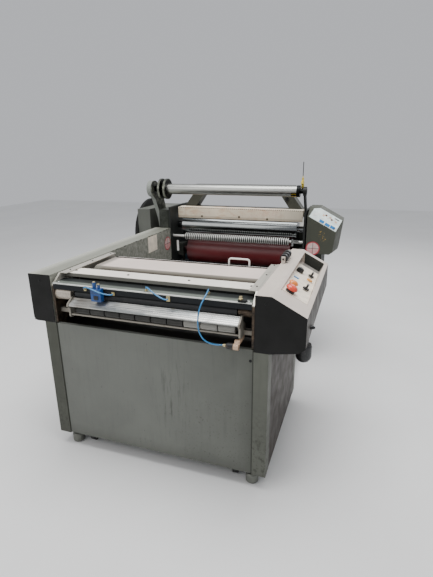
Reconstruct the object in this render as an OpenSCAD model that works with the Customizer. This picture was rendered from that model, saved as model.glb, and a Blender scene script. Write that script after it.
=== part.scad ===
// Industrial roll laminator: a delivery cabinet in front, an open web path, and a laminating
// tower behind. X runs across the machine, +Y from the delivery end to the infeed end, +Z up.
// Inside the modules X = 0 is the machine's centre line and Y = 0 the front of the cabinet.

/* [Cabinet] */
// Width over the cabinet's corner posts
cabinet_w = 1076; // [1070:2:1090]
// Depth of the cabinet from front to rear posts
cabinet_len = 777; // [760:1:800]
// Side of the square corner posts
post_w = 62; // [58:1:66]
// Height of the cabinet's bottom edge
skirt_z = 72; // [70:1:76]
// Height of the cabinet's top, where the side beams rest
cabinet_top = 680; // [676:1:684]

/* [Side beams] */
// Working height, the top of both side beams
beam_top = 910; // [908:1:914]
// Outer face of the left beam, measured from the centre line
beam_out = 600; // [596:1:610]
// Length of the right-hand operator console
console_len = 860; // [850:1:900]
// Outer face of the console
console_out = 680; // [676:1:684]
// Height of the console's outer edge
console_edge_z = 837; // [834:1:842]

/* [Delivery rollers] */
// Diameter of the upper nip roller
nip_d = 50; // [44:1:52]
// Diameter of the lower segmented roller
segment_d = 36; // [30:1:38]
// Diameter of the air tubes
tube_d = 6; // [5:0.5:6]

/* [Tower] */
// Front face of the tower
tower_y = 1300; // [1300:1:1304]
// Depth of the tower's side plates
tower_len = 450; // [440:1:460]
// Diameter of the chromed laminating roller
chrome_d = 150; // [144:1:150]
// Diameter of the rubber pressure roller
rubber_d = 189; // [180:1:190]
// Opening of the nip while the air is off
nip_gap = 12; // [8:1:14]
// Outer diameter of the ribbed web roller
ribbed_d = 52; // [46:1:54]
// Number of ribs on the web roller
rib_count = 53; // [40:1:70]

/* [Film shaft] */
// Diameter of the film roll shaft
shaft_d = 70; // [60:1:74]
// Height of the shaft's centre
shaft_z = 1193; // [1190:1:1200]

/* [Hidden] */
$fn = 48;

// Outermost planes of the machine, from which the origin under its middle is worked out
guard_face_x = -770;
control_out_x = 717;
front_tip_y = -34;
infeed_end_y = 2150;
middle_x = (guard_face_x + control_out_x) / 2;
middle_y = (front_tip_y + infeed_end_y) / 2;

run_fit = 0.1;          // bore diameter minus shaft diameter of a running fit
sheet = 2;              // sheet-metal thickness
plate = 10;             // inner side plates
post_x = cabinet_w / 2; // outer face of the posts
plate_x = post_x - post_w;
beam_in = 481;
console_in = 478;
console_knee = 543;
slope_angle = atan2(beam_top - console_edge_z, console_out - console_knee);
slope_len = (console_out - console_knee) / cos(slope_angle);
console_under = 670;    // underside of the console over its posts
deck_z = 630;           // deck inside the cabinet
rear_panel_y = 759;

// Console recess, along the slope (u) and along the machine (y)
pan_u = [12, slope_len - 18];
pan_y = [120, 815];
pan_front_depth = 3;
pan_back_depth = 52;
pan_tilt = atan2(pan_back_depth - pan_front_depth, pan_y[1] - pan_y[0]);
device_d = 22.6;        // standard hole of a panel device
// Panel devices: place across and along the panel
estop_at = [48, 45];
orange_at = [44, 130];
knob_at = [42, 440];
front_selector_at = [104, 215];
amber_at = [104, 370];
rear_selector_at = [104, 480];
devices = [estop_at, orange_at, knob_at, front_selector_at, amber_at, rear_selector_at];

nip_at = [42, 822];         // Y, Z of the upper nip roller
// The lip, its brackets and both delivery rollers stop short of the left side plate
delivery_x = [-372, 418];
segment_at = [22, 752];     // Y, Z of the lower segmented roller
piston_at = [-20, 694];      // Y, Z of the small air cylinder
guard_hinge = [290, 866];   // Y, Z of the guard plate's pivots
guard_half_w = 430;
guard_rear_y = 498;

tower_x = 476;              // inner face of the tower's side plates
tower_t = 12;
tower_top = 1060;
chrome_at = [1450, 915];
rubber_at = [1450, 915 - chrome_d / 2 - rubber_d / 2 - nip_gap];
ribbed_at = [1340, 850];
hood_y = [1398, 1476];
hood_z = [976, 1052];
hood_hinge = [1466, 1036];
motor_at = [1570, 600];
main_pulley_d = 150;
motor_pulley_d = 70;
shaft_y = 1250;
block_x = [430, 474];
rod_x = 447;
rear_axle = [1650, 48];
caster_at = [385, 62];
caster_trail = 16;
caster_d = 60;
caster_z = 33;

// Centre lines of the air tubes, hand-placed points in X, Y, Z
tube_left = [
    [-290, -11, 869], [-290, -14, 872], [-282, -21, 878], [-266, -29, 882], [-246, -34, 880],
    [-222, -36, 874], [-198, -35, 866], [-176, -30, 860], [-159, -22, 856], [-150, -14, 855],
    [-150, -8, 855]
];
tube_middle = [
    [0, 18, 886], [0, 18, 890], [3, 13, 895], [14, 3, 897], [32, -8, 892], [54, -16, 882],
    [78, -20, 871], [98, -20, 863], [109, -16, 860], [111, -13, 860], [111, -8, 860]
];
tube_right = [
    [266, 62, 886], [266, 62, 890], [268, 56, 897], [273, 40, 902], [278, 20, 903],
    [280, 0, 898], [278, -18, 888], [273, -32, 873], [267, -40, 855], [261, -42, 832],
    [257, -42, 806], [256, -42, 780], [259, -42, 756], [266, -42, 736], [278, -42, 719],
    [295, -40, 707], [315, -35, 699], [333, -27, 695], [345, -21, 694], [350, -20, 694],
    [354, -20, 694]
];

// ---------- shared shapes ----------

module placed() {
    translate([-middle_x, -middle_y, 0]) children();
}

module block(x, y, z) {
    translate([x[0], y[0], z[0]]) cube([x[1] - x[0], y[1] - y[0], z[1] - z[0]]);
}

module bar_x(x, at, d) {
    translate([x[0], at[0], at[1]]) rotate([0, 90, 0]) cylinder(d = d, h = x[1] - x[0]);
}

module bar_y(at, y, d) {
    translate([at[0], y[0], at[1]]) rotate([-90, 0, 0]) cylinder(d = d, h = y[1] - y[0]);
}

module bar_z(at, z, d) {
    translate([at[0], at[1], z[0]]) cylinder(d = d, h = z[1] - z[0]);
}

// Outline given in (Y, Z), drawn out along X
module along_x(x, outline) {
    translate([x[0], 0, 0]) rotate([90, 0, 90]) linear_extrude(x[1] - x[0]) polygon(outline);
}

// Outline given in (X, Z), drawn out along Y
module along_y(y, outline) {
    translate([0, y[1], 0]) rotate([90, 0, 0]) linear_extrude(y[1] - y[0]) polygon(outline);
}

module both_sides() {
    children();
    mirror([1, 0, 0]) children();
}

// Square tube along Z, closed at its foot
module post(x, y, z) {
    difference() {
        block(x, y, z);
        block([x[0] + 3, x[1] - 3], [y[0] + 3, y[1] - 3], [z[0] + 6, z[1] + 1]);
    }
}

// Square tube along X with open ends
module tube_x(x, y, z, wall) {
    difference() {
        block(x, y, z);
        block([x[0] - 1, x[1] + 1], [y[0] + wall, y[1] - wall], [z[0] + wall, z[1] - wall]);
    }
}

// Square tube along Y with open ends
module tube_y(x, y, z, wall) {
    difference() {
        block(x, y, z);
        block([x[0] + wall, x[1] - wall], [y[0] - 1, y[1] + 1], [z[0] + wall, z[1] - wall]);
    }
}

function add(a, b) = [for (i = [0:2]) a[i] + b[i]];
function scaled(a, k) = [for (i = [0:2]) a[i] * k];
function unit(a) = scaled(a, 1 / norm(a));
function heading(path, i) =
    unit(path[min(i + 1, len(path) - 1)] - path[max(i - 1, 0)]);
function across(h) = unit(cross(h, abs(h[2]) > 0.8 ? [1, 0, 0] : [0, 0, 1]));
function ring(path, i, d, sides, side) =
    let (h = heading(path, i), upward = cross(h, side))
    [for (k = [0:sides - 1])
        add(path[i], add(scaled(side, d / 2 * cos(360 * k / sides)),
            scaled(upward, d / 2 * sin(360 * k / sides))))];
// A side vector carried from ring to ring, so that the tube doesn't twist
function carried(path, i) = i == 0 ? across(heading(path, 0))
    : let (h = heading(path, i), s = carried(path, i - 1)) unit(s - scaled(h, s * h));

// Air tube swept along a route
module air_tube(path, d, sides = 8) {
    n = len(path);
    points = [for (i = [0:n - 1]) each ring(path, i, d, sides, carried(path, i))];
    walls = [for (i = [0:n - 2], k = [0:sides - 1])
        [i * sides + k, (i + 1) * sides + k,
            (i + 1) * sides + (k + 1) % sides, i * sides + (k + 1) % sides]];
    ends = [[for (k = [0:sides - 1]) k], [for (k = [sides - 1:-1:0]) (n - 1) * sides + k]];
    polyhedron(points = points, faces = concat(walls, ends));
}

// ---------- cabinet and beams ----------

module corner_posts() {
    color("#8a8e88") placed() for (y = [0, cabinet_len - post_w]) {
        post([-post_x, -plate_x], [y, y + post_w], [skirt_z, cabinet_top]);
        post([plate_x, post_x], [y, y + post_w], [skirt_z, console_under]);
    }
}

module front_panel() {
    color("#70756f") placed() difference() {
        block([1 - plate_x, plate_x - 1], [3, 21], [skirt_z + 4, cabinet_top - 2]);
        block([3 - plate_x, plate_x - 3], [3 + sheet, 22], [skirt_z + 6, cabinet_top - 4]);
    }
}

// Right-hand side panel, a tray with its edges turned in
module side_panel(top) {
    y = [post_w + 0.5, cabinet_len - post_w - 0.5];
    difference() {
        block([post_x - 16, post_x - 0.5], y, [skirt_z + 4, top - 2]);
        block([post_x - 17, post_x - 0.5 - sheet], [y[0] + sheet, y[1] - sheet],
            [skirt_z + 6, top - 2 - sheet]);
    }
}

module cabinet_panels() {
    color("#7a6e66") placed() {
        side_panel(console_under);
        mirror([1, 0, 0]) side_panel(cabinet_top);
        // Deck under the delivery rollers and the rear panel below it
        block([0.5 - plate_x, plate_x - 0.5], [22, rear_panel_y], [deck_z, deck_z + sheet]);
        block([0.5 - plate_x, plate_x - 0.5], [rear_panel_y - sheet, rear_panel_y],
            [skirt_z + 52, deck_z + sheet]);
    }
}

module base_rails() {
    rail_x = [plate_x - 62, plate_x];
    rail_z = [skirt_z, skirt_z + 50];
    color("#5c605b") placed() {
        both_sides() difference() {
            tube_y(rail_x, [24, tower_y + 440], rail_z, 3);
            block([plate_x - 70, plate_x + 1], [24, post_w], [skirt_z - 1, skirt_z + 51]);
        }
        difference() {
            tube_x([-plate_x + 0.5, plate_x - 0.5], [24, post_w + 40], rail_z, 3);
            both_sides() bar_z(caster_at, [skirt_z - 5, skirt_z + 10], 12 + run_fit);
            both_sides() block([plate_x - 62, plate_x], [post_w, post_w + 45],
                [skirt_z - 1, skirt_z + 51]);
        }
        for (y = [cabinet_len, tower_y - 60, tower_y + 250])
            tube_x([62 - plate_x, plate_x - 62], [y, y + 50], rail_z, 3);
    }
}

module left_beam() {
    color("#c8c8c0") placed() difference() {
        block([-beam_out, -beam_in], [3, tower_y - 0.3], [cabinet_top, beam_top]);
        block([-beam_out + 2.5, -beam_in - 2.5], [2, tower_y + 1],
            [cabinet_top + 2.5, beam_top - 2.5]);
    }
}

function console_outline(inset) = [
    [console_in + inset, beam_top - inset],
    [console_knee - inset * 0.25, beam_top - inset],
    [console_out - inset, console_edge_z - inset * 0.6],
    [console_out - inset, 712 + inset * 0.4],
    [656 - inset * 0.4, 690 + inset],
    [post_x, console_under + inset],
    [console_in + inset, console_under + inset]
];

module beam_end_caps() {
    color("#2e2f2e") placed() {
        along_y([0, 3], [
            [-beam_out, beam_top], [-beam_in, beam_top], [-beam_in, cabinet_top],
            [-beam_out + 16, cabinet_top], [-beam_out + 5, cabinet_top + 5],
            [-beam_out, cabinet_top + 16]
        ]);
        along_y([0, 3], console_outline(0));
    }
}

// Frame of the console's slope: u down the slope, z out of it, origin on the knee
module on_slope() {
    translate([console_knee, 0, beam_top]) rotate([0, slope_angle, 0]) children();
}

// Frame of the recess floor: x across, y along it, z out of it
module on_floor(at) {
    on_slope() translate([0, pan_y[0], -pan_front_depth]) rotate([-pan_tilt, 0, 0])
        translate([at[0], at[1], 0]) children();
}

module device_holes() {
    for (at = devices) on_floor(at) translate([0, 0, -15]) cylinder(d = device_d, h = 25);
}

module console_shell() {
    color("#c9c4bd") placed() difference() {
        union() {
            difference() {
                along_y([3, console_len], console_outline(0));
                along_y([2, console_len - sheet], console_outline(2.5));
            }
            on_slope() along_x(pan_u, [
                [pan_y[0] - 2, 0], [pan_y[1] + 2, 0], [pan_y[1] + 2, -pan_back_depth - 3],
                [pan_y[0] - 2, -pan_front_depth - 3]
            ]);
            // Two lugs that carry the adjusting wheels' spindle
            for (y = [511, 669]) block([482, 500], [y, y + 8], [beam_top - 1, 944]);
        }
        on_slope() along_x([pan_u[0] + 2, pan_u[1] - 2], [
            [pan_y[0], 5], [pan_y[1], 5], [pan_y[1], -pan_back_depth],
            [pan_y[0], -pan_front_depth]
        ]);
        device_holes();
        bar_y([491, 932], [505, 685], 10 + run_fit);
    }
}

module console_panel() {
    color("#f3e6cf") placed() difference() {
        on_floor([pan_u[0] + 3, 20]) cube([pan_u[1] - pan_u[0] - 6, 600, 1.5]);
        device_holes();
    }
}

module inner_side_plates() {
    top = beam_top - 2;
    color("#b5b3aa") placed() difference() {
        union() {
            both_sides() along_x([plate_x - plate, plate_x], [
                [4, 684], [4, 865], [60, top], [500, top], [540, 870], [540, 684],
                [post_w, 684], [post_w, 640], [24, 640], [24, 684]
            ]);
            both_sides() block([436, plate_x], [64, 490], [top - 3, top]);
            bar_x([404, plate_x - 1], nip_at, 40);
            // Large bearing housing at the left-hand end of the nip roller
            bar_x([1 - plate_x, delivery_x[0] - 12], nip_at, 66);
        }
        bar_x([-plate_x - 5, plate_x + 5], nip_at, 20 + run_fit);
        both_sides() bar_x([plate_x - 20, plate_x + 5], guard_hinge, 12 + run_fit);
    }
}

// ---------- delivery end ----------

module front_crossbar() {
    color("#c9c8c0") placed()
        tube_x([plate - plate_x, plate_x - plate], [89, 176], [886, 903], 3);
}

module valve_rail() {
    x = [plate - plate_x, plate_x - plate];
    color("#8d8f8a") placed() {
        block(x, [0, 3], [848, 877]);
        block(x, [3, 85], [874, 877]);
    }
}

module delivery_lip() {
    color("#d8d8d6") placed() along_x(delivery_x, [
        [-28, 783], [-28, 788], [-22, 793], [-20, 792], [-14, 797], [-12, 796], [-6, 801],
        [-4, 800], [2, 805], [4, 804], [12, 812], [14, 812], [14, 806], [-24, 783]
    ]);
}

module lower_brackets() {
    left = delivery_x[0] - 8;
    right = delivery_x[1] + 8;
    color("#b8ab98") placed() {
        difference() {
            union() {
                for (x = [[left, delivery_x[0]], [delivery_x[1], right]]) along_x(x, [
                    [-18, 732], [-8, 724], [44, 724], [60, 742], [60, 764], [44, 778],
                    [20, 790], [20, 816], [8, 816], [-28, 794], [-32, 782], [-18, 770]
                ]);
                block([plate - plate_x, left], [34, 58], [726, 746]);
                block([right, plate_x - plate], [34, 58], [726, 746]);
            }
            bar_x([left - 2, right + 2], segment_at, 12 + run_fit);
        }
        bar_x(delivery_x, [-10, 740], 9);
    }
}

module air_cylinder() {
    color("#a99684") placed() {
        bar_x([372, 420], piston_at, 28);
        bar_x([366, 372], piston_at, 18);
        block([404, 420], [-26, -14], [706, 723.7]);
        block([418, 426], [-26, 40], [708, 723.7]);
    }
}

module air_valve() {
    color("#2d7fc4") placed() {
        block([-250, -200], [-24, 0], [818, 876]);
        bar_z([-236, -12], [876, 902], 16);
        bar_z([-214, -12], [876, 894], 12);
    }
}

// Straight push-in fitting with a hexagonal foot, pointing along +Z of its own frame
module fitting() {
    cylinder(d = 13, h = 5, $fn = 6);
    translate([0, 0, 5]) cylinder(d = 10, h = 4);
}

module air_fittings() {
    color("#c9a24a") placed() {
        // Ends of the left tube
        block([-296, -284], [-6, 0], [856, 870]);
        translate([-290, -4, 862]) rotate([45, 0, 0]) cylinder(d = 9, h = 9.9);
        block([-157, -143], [-4, 0], [848.5, 862]);
        bar_y([-150, 855], [-8, -4], 9);
        // Ends of the middle tube
        translate([0, 18, 877]) fitting();
        block([103, 119], [-4, 0], [848.5, 872]);
        bar_y([111, 860], [-8, -4], 9);
        // Ends of the right tube
        translate([266, 62, 877]) fitting();
        bar_x([354, 358], piston_at, 9);
        bar_x([358, 366], piston_at, 13);
    }
}

module air_tube_left() {
    color("#2f86c8") placed() air_tube(tube_left, tube_d);
}

module air_tube_middle() {
    color("#2f86c8") placed() air_tube(tube_middle, tube_d);
}

module air_tube_right() {
    color("#2f86c8") placed() air_tube(tube_right, tube_d);
}

module filter_regulator() {
    at = [632, 295];
    function underside(x) = console_under + (x - post_x) * 20 / (656 - post_x);
    color("#2a2c30") placed() {
        along_y([280, 310], [
            [612, 640], [620, 640], [620, underside(620)], [612, underside(612)]
        ]);
        block([620, 658], [at[1] - 26, at[1] + 26], [598, 644]);
        // Bowl with a domed foot
        translate([639, at[1], 0]) rotate_extrude() polygon(concat(
            [[0, 598], [33, 598], [36, 588], [36, 542]],
            [for (a = [0:15:90]) [36 * cos(a), 542 - 34 * sin(a)]]
        ));
    }
}

module regulator_knob() {
    color("#1c1d1f") placed() translate([639, 295, 644.3]) {
        cylinder(d = 38, h = 18);
        translate([0, 0, 18]) cylinder(d = 30, h = 8);
    }
}

module levelling_feet() {
    color("#777a78") placed() both_sides() {
        for (at = [[468, 48], [445, tower_y + 400]]) {
            translate(at) rotate_extrude()
                polygon([[0, 0], [22, 0], [29, 6], [30, 44], [25, 50], [0, 50]]);
            bar_z(at, [50, skirt_z], 20);
        }
    }
}

module cable_gland() {
    color("#1b1b1b") placed() translate([console_out, 123, 755]) rotate([0, 90, 0]) {
        cylinder(d = 20, h = 5, $fn = 6);
        translate([0, 0, 5]) cylinder(d = 15, h = 6);
        translate([0, 0, 11]) cylinder(d1 = 15, d2 = 8, h = 8);
    }
}

// ---------- tower ----------

module tower_side_plates() {
    y = [tower_y, tower_y + tower_len];
    color("#3c3f3d") placed() both_sides() difference() {
        along_x([tower_x, tower_x + tower_t], [
            [y[0], 120], [y[0] + 60, 20], [y[1] - 20, 20], [y[1], 60],
            [y[1], 900], [y[1] - 120, tower_top], [y[0], tower_top]
        ]);
        bar_x([tower_x - 2, tower_x + tower_t + 2], chrome_at, 50 + run_fit);
        bar_x([tower_x - 2, tower_x + tower_t + 2], ribbed_at, 20 + run_fit);
        bar_x([tower_x - 2, tower_x + tower_t + 2], rear_axle, 20 + run_fit);
        bar_x([tower_x - 2, tower_x + tower_t + 2], motor_at, 24 + run_fit);
        bar_x([tower_x - 2, tower_x + 9], hood_hinge, 10 + run_fit);
    }
}

module tower_panels() {
    back = tower_y + tower_len;
    plate_out = tower_x + tower_t;
    color("#565a57") placed() {
        // Lower front and rear covers between the side plates
        block([-tower_x, tower_x], [tower_y, tower_y + sheet], [124, 600]);
        block([-tower_x, tower_x], [back - sheet, back], [124, 840]);
        // Cross beam under the lift cylinders
        tube_x([-tower_x, tower_x], [1400, 1500], [440, 480], 3);
        // Belt cover on the left plate, open towards the plate
        difference() {
            block([-566, -plate_out], [tower_y + 4, back - 4], [124, 1040]);
            block([-564, -plate_out + 1], [tower_y + 6, back - 6], [126, 1038]);
        }
        // Pedestal under the control box, open towards the plate
        difference() {
            block([plate_out, 603], [tower_y + 4, tower_y + 260], [460, 785.7]);
            block([plate_out - 1, 601], [tower_y + 6, tower_y + 258], [462, 784]);
        }
    }
}

module drive_housing() {
    function plan(i) = [
        [-740 + i, tower_y + i], [-640 - i, tower_y + i], [-640 - i, tower_y + 130 + i],
        [-566 - i, tower_y + 130 + i], [-566 - i, tower_y + 400 - i], [-740 + i, tower_y + 400 - i]
    ];
    color("#8b908b") placed() difference() {
        translate([0, 0, 560]) linear_extrude(480) polygon(plan(0));
        translate([0, 0, 562]) linear_extrude(476) polygon(plan(sheet));
    }
}

module round_guard() {
    color("#3a3c3a") placed() translate([guard_face_x, tower_y + 236, 841]) rotate([0, 90, 0])
        rotate_extrude() polygon(concat(
            [[0, 0], [240, 0]],
            [for (a = [15:15:90]) [240 + 12 * sin(a), 12 - 12 * cos(a)]],
            [[252, 30], [0, 30]]
        ));
}

// Control box: the front outline and the larger one behind it
box_front = [[498, 786], [648, 786], [668, 800], [684, 932], [501, 1030], [498, 1030]];
box_back = [[498, 786], [665, 786], [695, 805], [717, 994], [564, 1076], [498, 1076]];
fascia_turn = atan2(1030 - 932, 684 - 501);
fascia_tilt = 30.4;

module control_body(inset) {
    hull() {
        translate([0, tower_y + inset, 0]) rotate([90, 0, 0]) translate([0, 0, -0.1])
            linear_extrude(0.1) offset(delta = -inset) polygon(box_front);
        for (y = [tower_y + 120, tower_y + 260 - inset])
            translate([0, y, 0]) rotate([90, 0, 0])
                linear_extrude(0.1) offset(delta = -inset) polygon(box_back);
    }
}

module control_box() {
    color("#3a3d3b") placed() difference() {
        control_body(0);
        control_body(3);
    }
}

module control_fascia() {
    color("#dfe8e6") placed() translate([501, tower_y, 1030]) rotate([fascia_tilt, fascia_turn, 0])
        translate([0, 0, 0.3]) linear_extrude(2)
            polygon([[6, 4], [202, 4], [202, 132], [38, 132], [6, 100]]);
}

module rear_arch() {
    y = [1488, 1588];
    color("#6a6e6b") placed() {
        block([-tower_x, tower_x], y, [1000, 1046]);
        both_sides() along_y(y, [
            [440, 1046], [352, 1046], [284, 1144], [355, 1144], [373, 1136]
        ]);
        block([-372, 372], y, [1144, 1206]);
    }
}

module shaft_arm() {
    foot = [1392, 940];
    top = [shaft_y, shaft_z];
    color("#4b4e4b") placed() difference() {
        union() {
            bar_x([-600, -560], top, 110);
            along_x([-596, -568], [
                [shaft_y - 50, shaft_z - 28], [1262, 1120], [1300, 1050], [1340, 970],
                [1362, 905], [1420, 905], [1426, 960], [1426, 1040], [1404, 1100],
                [1356, 1160], [shaft_y + 50, shaft_z + 26]
            ]);
            bar_x([-569, -566], foot, 60);
        }
        bar_x([-605, -555], top, 40 + run_fit);
    }
}

module shaft_post() {
    color("#2c2e2d") placed() difference() {
        union() {
            along_x([tower_x, tower_x + tower_t], [
                [1306, tower_top], [1350, tower_top], [1338, 1094], [1284, 1170],
                [1278, 1206], [1232, 1206], [1226, 1172], [1240, 1150]
            ]);
            bar_x([tower_x - 4, tower_x + 16], [shaft_y, shaft_z], 56);
        }
        bar_x([tower_x - 10, tower_x + 20], [shaft_y, shaft_z], 30 + run_fit);
    }
}

module infeed_table() {
    y = [tower_y + tower_len, infeed_end_y];
    color("#a9aca8") placed() {
        block([-440, 440], y, [882, 885]);
        block([-440, 440], [y[1] - 3, y[1]], [858, 882]);
        both_sides() {
            block([437, 440], [y[0], y[1] - 3], [858, 882]);
            along_x([400, 406], [[y[0], 882], [y[0], 640], [y[0] + 24, 640], [y[1] - 60, 882]]);
        }
    }
}

module drive_motor() {
    color("#4d6a78") placed() {
        bar_x([-tower_x, -tower_x + 12], motor_at, 150);
        bar_x([-tower_x + 12, -tower_x + 230], motor_at, 130);
        bar_x([-tower_x + 230, -tower_x + 262], motor_at, 116);
        block([-tower_x + 60, -tower_x + 150], [1620, 1668], [565, 635]);
    }
}

// Flat belt: two straight runs and two half turns round the pulleys
module drive_belt() {
    gap = 0.4;
    thick = 4;
    span = norm(chrome_at - motor_at);
    lean = atan2(motor_at[1] - chrome_at[1], motor_at[0] - chrome_at[0]);
    drop = asin((main_pulley_d - motor_pulley_d) / 2 / span);
    module loop(grow) {
        polygon(concat(
            [for (a = [90 - drop:6:270 + drop]) (main_pulley_d / 2 + grow) * [cos(a), sin(a)]],
            [for (a = [-90 + drop:6:90 - drop])
                [span, 0] + (motor_pulley_d / 2 + grow) * [cos(a), sin(a)]]
        ));
    }
    color("#222222") placed() translate([-543, chrome_at[0], chrome_at[1]])
        rotate([90, 0, 90]) rotate([0, 0, lean]) linear_extrude(26) difference() {
            loop(gap + thick);
            loop(gap);
        }
}

module lift_cylinders() {
    color("#b9bcba") placed() both_sides() difference() {
        union() {
            bar_z([rod_x, rubber_at[0]], [480, 640], 54);
            block([rod_x - 28, rod_x + 28], [rubber_at[0] - 28, rubber_at[0] + 28], [480, 496]);
            block([rod_x - 28, rod_x + 28], [rubber_at[0] - 28, rubber_at[0] + 28], [624, 640]);
        }
        bar_z([rod_x, rubber_at[0]], [560, 641], 20 + run_fit);
    }
}

// ---------- moving pieces ----------

// Sheet of the guard, bent round a quarter turn at its front
module guard_plate() {
    bend = 44;
    top = 888;
    centre = [guard_hinge[0] + 14, top - bend];
    x = [-guard_half_w, guard_half_w];
    function arc(r) = [for (a = [180:-7.5:90]) centre + r * [cos(a), sin(a)]];
    function arc_back(r) = [for (a = [90:7.5:180]) centre + r * [cos(a), sin(a)]];
    color("#d6cbc6") placed() {
        along_x(x, concat(
            [[centre[0] - bend, 828]], arc(bend), [[guard_rear_y, top], [guard_rear_y, top - 14],
            [guard_rear_y - sheet, top - 14], [guard_rear_y - sheet, top - sheet]], arc_back(bend - sheet), [[centre[0] - bend + sheet, 828]]
        ));
        both_sides() {
            along_x([guard_half_w, guard_half_w + 3], concat(
                [[centre[0] - bend, 828]], arc(bend),
                [[460, top], [484, 872], [490, 850], [460, 832], [380, 828]]
            ));
            bar_x([guard_half_w + 3, plate_x - 1], guard_hinge, 12);
        }
    }
}

module guard_handle() {
    feet = [221, 327];
    y = guard_rear_y - 10;
    low = 888;
    high = 924;
    bend = 12;
    wire = 9;
    module corner(x, turn) {
        translate([x, y, high - bend]) rotate([90, 0, 0]) rotate([0, 0, turn])
            rotate_extrude(angle = 90) translate([bend, 0]) circle(d = wire);
    }
    color("#e6e2dc") placed() {
        for (x = feet) bar_z([x, y], [low, high - bend], wire);
        bar_x([feet[0] + bend, feet[1] - bend], [y, high], wire);
        corner(feet[0] + bend, 90);
        corner(feet[1] - bend, 0);
    }
}

module hood() {
    x = [-455, 455];
    color("#cfc7b4") placed() {
        block(x, [hood_y[0], hood_y[0] + sheet], [hood_z[0], hood_z[1] - sheet]);
        block(x, hood_y, [hood_z[1] - sheet, hood_z[1]]);
        both_sides() {
            along_x([453, 455], [
                [hood_y[0] + sheet, 996], [hood_y[0] + sheet, hood_z[1] - sheet],
                [hood_y[1], hood_z[1] - sheet], [hood_y[1], 1020], [1420, 996]
            ]);
            bar_x([455, tower_x + 8], hood_hinge, 10);
        }
    }
}

module chrome_roller() {
    color("#c5cacc") placed() {
        difference() {
            bar_x([-420, 420], chrome_at, chrome_d);
            bar_x([-404, 404], chrome_at, chrome_d - 28);
        }
        bar_x([420, tower_x + 16], chrome_at, 50);
        bar_x([-556, -420], chrome_at, 50);
        bar_x([-546, -514], chrome_at, main_pulley_d);
    }
}

module pressure_roller() {
    color("#4a1518") placed() {
        bar_x([-380, 380], rubber_at, rubber_d);
        bar_x([-472, 472], rubber_at, 40);
    }
}

module pressure_blocks() {
    z = rubber_at[1];
    color("#6f7370") placed() both_sides() difference() {
        union() {
            block(block_x, [rubber_at[0] - 45, rubber_at[0] + 45], [z - 45, z + 45]);
            bar_z([rod_x, rubber_at[0]], [600, z - 45], 20);
        }
        bar_x([block_x[0] - 1, block_x[1] + 1], rubber_at, 40 + run_fit);
    }
}

module ribbed_roller() {
    half = 380;
    pitch = 2 * half / rib_count;
    core = ribbed_d / 2 - 4;
    color("#55585a") placed() {
        translate([-half, ribbed_at[0], ribbed_at[1]]) rotate([0, 90, 0]) rotate_extrude()
            polygon(concat([[0, 0]],
                [for (i = [0:rib_count - 1]) each [
                    [core, i * pitch], [core, (i + 0.45) * pitch],
                    [ribbed_d / 2, (i + 0.55) * pitch], [ribbed_d / 2, (i + 0.9) * pitch]
                ]],
                [[core, 2 * half], [0, 2 * half]]));
        both_sides() bar_x([half, tower_x + 10], ribbed_at, 20);
    }
}

module film_shaft() {
    at = [shaft_y, shaft_z];
    color("#c9cbc9") placed() {
        bar_x([-458, 432], at, shaft_d);
        bar_x([432, 452], at, shaft_d + 4);
        bar_x([452, tower_x + 14], at, 30);
        bar_x([-584, -458], at, 40);
        // Two flanges and their hubs at the drive end
        for (x = [-512, -472]) bar_x([x, x + 14], at, 140);
        bar_x([-540, -512], at, 60);
        bar_x([-498, -472], at, 90);
    }
}

module latch_lever() {
    color("#d8c23a") placed() {
        difference() {
            along_x([456, 470], [
                [1262, 1196], [1284, 1204], [1282, 1240], [1262, 1258], [1240, 1256], [1236, 1240],
                [1254, 1236]
            ]);
            bar_x([450, 471], [shaft_y, shaft_z], 47);
        }
        bar_z([463, 1262], [1256, 1371], 5);
        bar_z([463, 1262], [1256, 1276], 12);
    }
}

module nip_roller() {
    color("#1e1f22") placed() {
        bar_x([delivery_x[0] + 6, 400], nip_at, nip_d);
        bar_x([-plate_x + 2, plate_x - 2], nip_at, 20);
    }
}

module segmented_roller() {
    color("#6c6a66") placed() {
        bar_x([delivery_x[0] - 6, delivery_x[1] + 6], segment_at, 12);
        for (x = [-362:76:322]) bar_x([x + 3, x + 73], segment_at, segment_d);
    }
}

// Round head on the stem of a standard panel device
module mushroom(at, head_d, head_z) {
    on_floor(at) {
        translate([0, 0, -10]) cylinder(d = device_d - 0.2, h = head_z + 10);
        translate([0, 0, head_z]) rotate_extrude() polygon(concat(
            [[0, 0], [head_d / 2 - 3, 0], [head_d / 2, 3]],
            [for (a = [0:15:90]) [head_d / 2 * cos(a), 4 + head_d * 0.32 * sin(a)]]
        ));
    }
}

module emergency_stop() {
    color("#e0553a") placed() mushroom(estop_at, 52, 15);
}

module orange_button() {
    color("#ef8a2e") placed() mushroom(orange_at, 42, 15);
}

module amber_button() {
    color("#e0a040") placed() on_floor(amber_at) {
        translate([0, 0, -10]) cylinder(d = device_d - 0.2, h = 16);
        translate([0, 0, 6]) cylinder(d = 28, h = 7);
    }
}

module speed_knob() {
    color("#1d1d1d") placed() on_floor(knob_at) {
        translate([0, 0, -10]) cylinder(d = device_d - 0.2, h = 13);
        translate([0, 0, 3]) cylinder(d = 36, h = 16);
        translate([0, 0, 19]) cylinder(d = 28, h = 5);
        translate([-2, 0, 24]) cube([4, 13, 2]);
    }
}

module selector(at) {
    on_floor(at) {
        translate([0, 0, -10]) cylinder(d = device_d - 0.2, h = 13);
        translate([0, 0, 3]) cylinder(d = 30, h = 5);
        translate([-4.5, -16, 8]) cube([9, 32, 18]);
    }
}

module selector_front() {
    color("#202020") placed() selector(front_selector_at);
}

module selector_rear() {
    color("#202020") placed() selector(rear_selector_at);
}

module edge_wheels() {
    color("#26282a") placed() {
        bar_y([491, 932], [507, 683], 10);
        for (y = [527, 571, 615]) bar_y([491, 932], [y, y + 24], 40);
    }
}

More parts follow.
